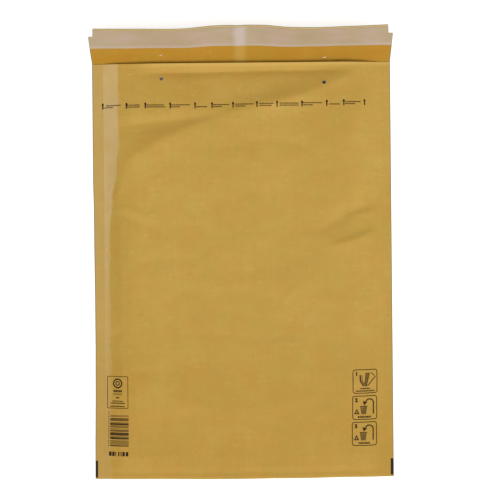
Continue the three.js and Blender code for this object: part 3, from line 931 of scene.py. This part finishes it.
def shade(color, factor):
    return tuple(channel * factor for channel in color)


def object_place(tree):
    return tree.nodes.new("ShaderNodeTexCoord").outputs["Object"]


def remap(tree, value, from_range, to_range):
    """A value carried from one range to another, held at its ends and eased between them."""
    return add_node(tree, "MapRange", {"interpolation_type": "SMOOTHSTEP"}, _0=value,
                    _1=from_range[0], _2=from_range[1], _3=to_range[0], _4=to_range[1])


def split_axes(tree, vector):
    split = tree.nodes.new("ShaderNodeSeparateXYZ")
    tree.links.new(vector, split.inputs[0])
    return split.outputs


def painted_sheen_side(tree, patches):
    """1 where a sheen is painted on the front: a pale band inside the left seam, widest near the mouth.
    """
    x, y, z = split_axes(tree, object_place(tree))
    inner_edge = remap(tree, y, (0.03, 0.145), (-0.1425, -0.1315))
    uneven = math_of(tree, "MULTIPLY", math_of(tree, "SUBTRACT", patches, 0.5), 0.008)
    past_edge = math_of(tree, "ADD", math_of(tree, "SUBTRACT", x, inner_edge), uneven)
    band = remap(tree, past_edge, (-0.0018, 0.0014), (1, 0))
    seam = remap(tree, x, (-0.1495, -0.147), (0.3, 1))
    fading = remap(tree, y, (-0.2, 0.1), (0.25, 1))
    uneven_sheen = remap(tree, patches, (0.35, 0.6), (0.75, 1))
    front = math_of(tree, "GREATER_THAN", z, 0.0005)
    return product(tree, [band, seam, fading, uneven_sheen, front])


def crest_highlight_band(tree, across, noise):
    """1 on the soft band of painted highlight where the flap bends forward, by sheet coordinate."""
    uneven = math_of(tree, "ADD", across, math_of(tree, "MULTIPLY", noise, 0.06))
    left = remap(tree, uneven, (-0.08, 0), (0, 1))
    right = remap(tree, uneven, (0.04, 0.12), (1, 0))
    return math_of(tree, "MULTIPLY", left, right)


def edge_marks(tree, sheet, base):
    """Paler paper along the flap's end, a painted highlight along the lip, and a thin grey-brown line of
    painted shade at the cut edges.
    """
    x, down, _ = split_axes(tree, sheet)
    across = math_of(tree, "ABSOLUTE", x, 0)
    pale = blend_colors(tree, remap(tree, down, (0.022, 0.03), (0.8, 0)), base, (*FLAP_END, 1))
    open_part = remap(tree, x, (-1.25, -0.85), (0, 1))
    # Painted highlight along the lip
    lip = product(tree, [remap(tree, down, (SHEET_END - 0.055, SHEET_END - 0.01), (0, 0.6)), open_part])
    pale = blend_colors(tree, lip, pale, (*LIP_HIGHLIGHT, 1))
    # Painted shade: a thin dark line along the side edges and the flap's end
    side = remap(tree, across, (1.588, 1.594), (0, 0.75))
    end = remap(tree, down, (0.008, 0.011), (0.9, 0))
    return blend_colors(tree, math_of(tree, "MAXIMUM", side, end), pale, (*EDGE_SHADE_LINE, 1))


def painted_shade_below(tree, base):
    """The front's colour with painted shade: darker and browner towards the bottom fold."""
    below = remap(tree, split_axes(tree, object_place(tree))[1], (-0.18, -0.03), (1, 0))
    return add_node(tree, "MixRGB", {"blend_type": "MULTIPLY"}, Fac=below, Color1=base,
                    Color2=(*LOWER_SHADE, 1))


def kraft(name, color, warm, roughness, painted_sheen=None, crest=None):
    """Kraft paper: slow clouds, blotches, faint streaks down the sheet, specks and fibres."""
    material, tree, shader = start_material(name, color, roughness, Specular_IOR_Level=0.12)
    sheet = add_node(tree, "UVMap", {"uv_map": "sheet"})
    clouds = noise_at(tree, sheet, 1.7, 3)
    blotches = noise_at(tree, stretched(tree, sheet, (5, 9, 1)), 1, 3, 0.55)
    streaks = noise_at(tree, stretched(tree, sheet, (34, 1.6, 1)), 1, 4, 0.6)
    fibres = noise_at(tree, sheet, 70, 6, 0.7)
    grey = (0.5, 0.5, 0.5)
    specks = ramp(tree, noise_at(tree, stretched(tree, sheet, (13, 24, 1)), 1, 2, 0.5),
                  [(0.27, (0, 0, 0)), (0.38, grey), (0.62, grey), (0.73, (1, 1, 1))])
    tone = weighted(tree, [(clouds, 0.5), (blotches, 0.35), (streaks, 0.2), (fibres, 0.7),
                           (specks, 0.4)])
    base = ramp(tree, tone, [(0.2, shade(color, 0.9)), (0.5, color), (0.8, warm)])
    hue = ramp(tree, noise_at(tree, sheet, 4, 2), [(0.35, COOLER), (0.65, WARMER)])
    base = add_node(tree, "MixRGB", {"blend_type": "MULTIPLY"}, Fac=1.0, Color1=base, Color2=hue)
    if painted_sheen:
        # Painted shade: darker and browner towards the bottom fold
        base = painted_shade_below(tree, base)
        # Painted sheen: a pale band inside the left seam, uneven in patches
        patches = noise_at(tree, stretched(tree, sheet, (9, 6, 1)), 1, 4, 0.6)
        base = blend_colors(tree, painted_sheen_side(tree, patches), base, (*painted_sheen, 1))
        # Painted shade and sheen: the left seam strip is darker and greyer
        across = split_axes(tree, object_place(tree))[0]
        base = blend_colors(tree, remap(tree, across, (-0.1495, -0.147), (0.2, 0)), base,
                            (*LEFT_SEAM_SHADE_AND_SHEEN, 1))
    if crest:
        # Painted highlight where the flap bends forward
        band = crest_highlight_band(tree, split_axes(tree, sheet)[0], blotches)
        base = blend_colors(tree, math_of(tree, "MULTIPLY", band, 0.75), base, (*crest, 1))
    flecks = ramp(tree, noise_at(tree, stretched(tree, sheet, (1.6, 1, 1)), 90, 2, 0.5),
                  [(0.7, (0, 0, 0)), (0.78, (1, 1, 1))])
    flecked = blend_colors(tree, math_of(tree, "MULTIPLY", flecks, 0.4), base,
                           (*shade(color, 0.62), 1))
    tree.links.new(edge_marks(tree, sheet, flecked), shader.inputs["Base Color"])
    rough = weighted(tree, [(fibres, 0.25), (streaks, 0.15)])
    tree.links.new(math_of(tree, "ADD", rough, roughness - 0.5), shader.inputs["Roughness"])
    bump = add_node(tree, "Bump", Strength=0.35, Distance=0.0001, Height=fibres)
    tree.links.new(bump, shader.inputs["Normal"])
    return material


def bare_paper(name, dark, light):
    """Paper whose fibres lie open, at the cut edge of the sheet or round a punched hole."""
    material, tree, shader = start_material(name, light, 0.8, Specular_IOR_Level=0.1)
    tone = ramp(tree, noise_at(tree, object_place(tree), 900, 3), [(0.3, dark), (0.7, light)])
    tree.links.new(tone, shader.inputs["Base Color"])
    return material


def ink():
    """Dark brown ink, a little uneven where the fibres take less of it."""
    dark = (0.014, 0.005, 0.001)
    material, tree, shader = start_material("brown_ink", dark, 0.55, Specular_IOR_Level=0.12)
    cover = noise_at(tree, object_place(tree), 1800, 4, 0.7)
    tone = ramp(tree, cover, [(0.4, dark), (0.75, (0.045, 0.02, 0.005))])
    tree.links.new(tone, shader.inputs["Base Color"])
    return material


def bubble_film():
    """Clear film, faintly milky."""
    material, tree, shader = start_material("bubble_film", (0.8, 0.81, 0.78), 0.22, Alpha=0.24,
                                            IOR=1.5)
    milk = noise_at(tree, object_place(tree), 60, 3)
    tone = ramp(tree, milk, [(0.3, (0.72, 0.74, 0.7)), (0.7, (0.86, 0.87, 0.83))])
    tree.links.new(tone, shader.inputs["Base Color"])
    return material


def hot_melt():
    """Tacky amber adhesive with a shine."""
    material, tree, shader = start_material("hot_melt", (0.5, 0.36, 0.17), 0.3)
    tone = ramp(tree, noise_at(tree, object_place(tree), 120, 4),
                [(0.3, (0.44, 0.31, 0.14)), (0.7, (0.56, 0.42, 0.21))])
    tree.links.new(tone, shader.inputs["Base Color"])
    return material


def liner_film():
    """Translucent film, pinkish grey to tan, paler with a painted highlight where the flap bends
    forward.
    """
    material, tree, shader = start_material("liner_film", (0.52, 0.4, 0.26), 0.3, Alpha=0.85, IOR=1.5)
    strip = add_node(tree, "UVMap", {"uv_map": "sheet"})
    clouds = noise_at(tree, stretched(tree, strip, (3.5, 9, 1)), 1, 3)
    tone = ramp(tree, clouds, [(0.3, (0.445, 0.352, 0.205)), (0.5, (0.488, 0.366, 0.238)),
                               (0.7, (0.526, 0.38, 0.29))])
    across, along, _ = split_axes(tree, strip)
    # Painted highlight where the flap bends forward
    crest = math_of(tree, "MULTIPLY", crest_highlight_band(tree, across, clouds), 0.75)
    low_edge = remap(tree, along, (0.26, 0.29), (0.35, 0))
    pale = blend_colors(tree, math_of(tree, "MAXIMUM", crest, low_edge), tone, (0.615, 0.522, 0.466, 1))
    tree.links.new(pale, shader.inputs["Base Color"])
    return material


def make_camera():
    """The photograph's view: straight down on the envelope."""
    distance = 1.3
    width = 0.53725  # what the frame takes in at the floor
    data = bpy.data.cameras.new("camera")
    data.sensor_width = 36
    data.lens = data.sensor_width * distance / width
    camera = bpy.data.objects.new("camera", data)
    camera.location = (0.0078, 0.022, distance)
    camera.rotation_euler = (0, 0, math.radians(-0.54))
    bpy.context.scene.collection.objects.link(camera)
    bpy.context.scene.camera = camera


def seen_directly(tree):
    """1 for rays that show the background: from the camera, a shine or a clear film."""
    path = tree.nodes.new("ShaderNodeLightPath")
    shown = math_of(tree, "MAXIMUM", path.outputs["Is Camera Ray"], path.outputs["Is Glossy Ray"])
    return math_of(tree, "MAXIMUM", shown, path.outputs["Is Transmission Ray"])


def make_world(ambient):
    world = bpy.data.worlds.new("studio")
    bpy.context.scene.world = world
    world.use_nodes = True
    tree = world.node_tree
    background = tree.nodes["Background"]
    background.inputs["Color"].default_value = (1, 1, 1, 1)
    span = math_of(tree, "MULTIPLY", seen_directly(tree), 1 - ambient)
    tree.links.new(math_of(tree, "ADD", span, ambient), background.inputs["Strength"])


def make_floor(color, glow):
    """A plain pale floor, which shows white and keeps the shadow."""
    bm = bmesh.new()
    bmesh.ops.create_grid(bm, x_segments=1, y_segments=1, size=4)
    bmesh.ops.translate(bm, vec=(0, 0, -0.0002), verts=bm.verts)
    mesh = bpy.data.meshes.new("floor")
    bm.to_mesh(mesh)
    bm.free()
    floor = bpy.data.objects.new("floor", mesh)
    bpy.context.scene.collection.objects.link(floor)
    material, tree, shader = start_material("floor", color, 0.9)
    shader.inputs["Specular IOR Level"].default_value = 0
    shader.inputs["Emission Color"].default_value = (1, 1, 1, 1)
    strength = math_of(tree, "MULTIPLY", seen_directly(tree), glow)
    tree.links.new(strength, shader.inputs["Emission Strength"])
    mesh.materials.append(material)


def add_lamp(name, towards, softness, strength):
    """A soft far lamp that stands in the given direction from the envelope."""
    data = bpy.data.lights.new(name, "SUN")
    data.energy = strength
    data.angle = math.radians(softness)
    lamp = bpy.data.objects.new(name, data)
    lamp.location = Vector(towards).normalized() * 2
    lamp.rotation_euler = (-Vector(towards)).to_track_quat("-Z", "Y").to_euler()
    bpy.context.scene.collection.objects.link(lamp)


# Colours of the paper
KRAFT = (0.512, 0.314, 0.061)
KRAFT_LIGHT = (0.563, 0.362, 0.087)
# Painted shade towards the bottom fold
LOWER_SHADE = (0.94, 0.9, 0.79)
# Painted sheen: the pale, greyer band inside the left seam
LEFT_SHEEN = (0.585, 0.41, 0.17)
# Painted shade and sheen on the strip of the left seam
LEFT_SEAM_SHADE_AND_SHEEN = (0.41, 0.285, 0.105)
COOLER = (0.975, 1.01, 0.99)
WARMER = (1.015, 0.965, 0.95)
# The flap's inside face: a deeper, more saturated orange that paints in light shining through the paper
# and bounced between flap and lip
INSIDE_PAINTED_GLOW = (0.44, 0.227, 0.024)
INSIDE_LIGHT_PAINTED_GLOW = (0.485, 0.263, 0.036)
FLAP_END = (0.66, 0.52, 0.25)
# Painted highlight along the lip
LIP_HIGHLIGHT = (0.64, 0.42, 0.11)
# Painted highlight where the flap bends forward
INSIDE_CREST_HIGHLIGHT = (0.485, 0.305, 0.063)
# Painted shade along the cut edges
EDGE_SHADE_LINE = (0.22, 0.17, 0.1)

bpy.context.scene.view_settings.view_transform = "Standard"
make_camera()
make_world(0.45)
make_floor((0.8, 0.8, 0.8), 0.55)
add_lamp("window", (0.3, -0.8, 1.2), 75, 2.17)

outside = kraft("kraft_outside", KRAFT, KRAFT_LIGHT, 0.5, LEFT_SHEEN)
# Painted light: the inside face's deeper orange stands in for light shining through the paper
inside = kraft("kraft_inside_painted_glow", INSIDE_PAINTED_GLOW, INSIDE_LIGHT_PAINTED_GLOW, 0.6, crest=INSIDE_CREST_HIGHLIGHT)
brown_ink = ink()

kraft_sleeve([outside, inside, bare_paper("cut_paper_edge", (0.24, 0.17, 0.09), (0.36, 0.26, 0.14))])
bubble_pouch(bubble_film())
adhesive_strip(hot_melt())
liner_strip(liner_film())
torn = bare_paper("torn_paper", (0.44, 0.28, 0.07), (0.58, 0.39, 0.13))
for side_name, (hole_x, hole_y, hole_radius) in zip(("left", "right"), PANEL_HOLES):
    hole_burr(f"hole_burr_{side_name}", hole_x, hole_y, hole_radius, torn)
tear_line(brown_ink)
label_mark(brown_ink)
code_mark(brown_ink)
size_mark(brown_ink)
corner_bar("corner_mark_left", -1, 2.6, 18, brown_ink, "corner_bar_left_print")
corner_bar("corner_mark_right", 1, 3.1, 17.4, brown_ink, "corner_bar_right_print")
for mark_order in range(3):
    disposal_mark(mark_order, brown_ink)
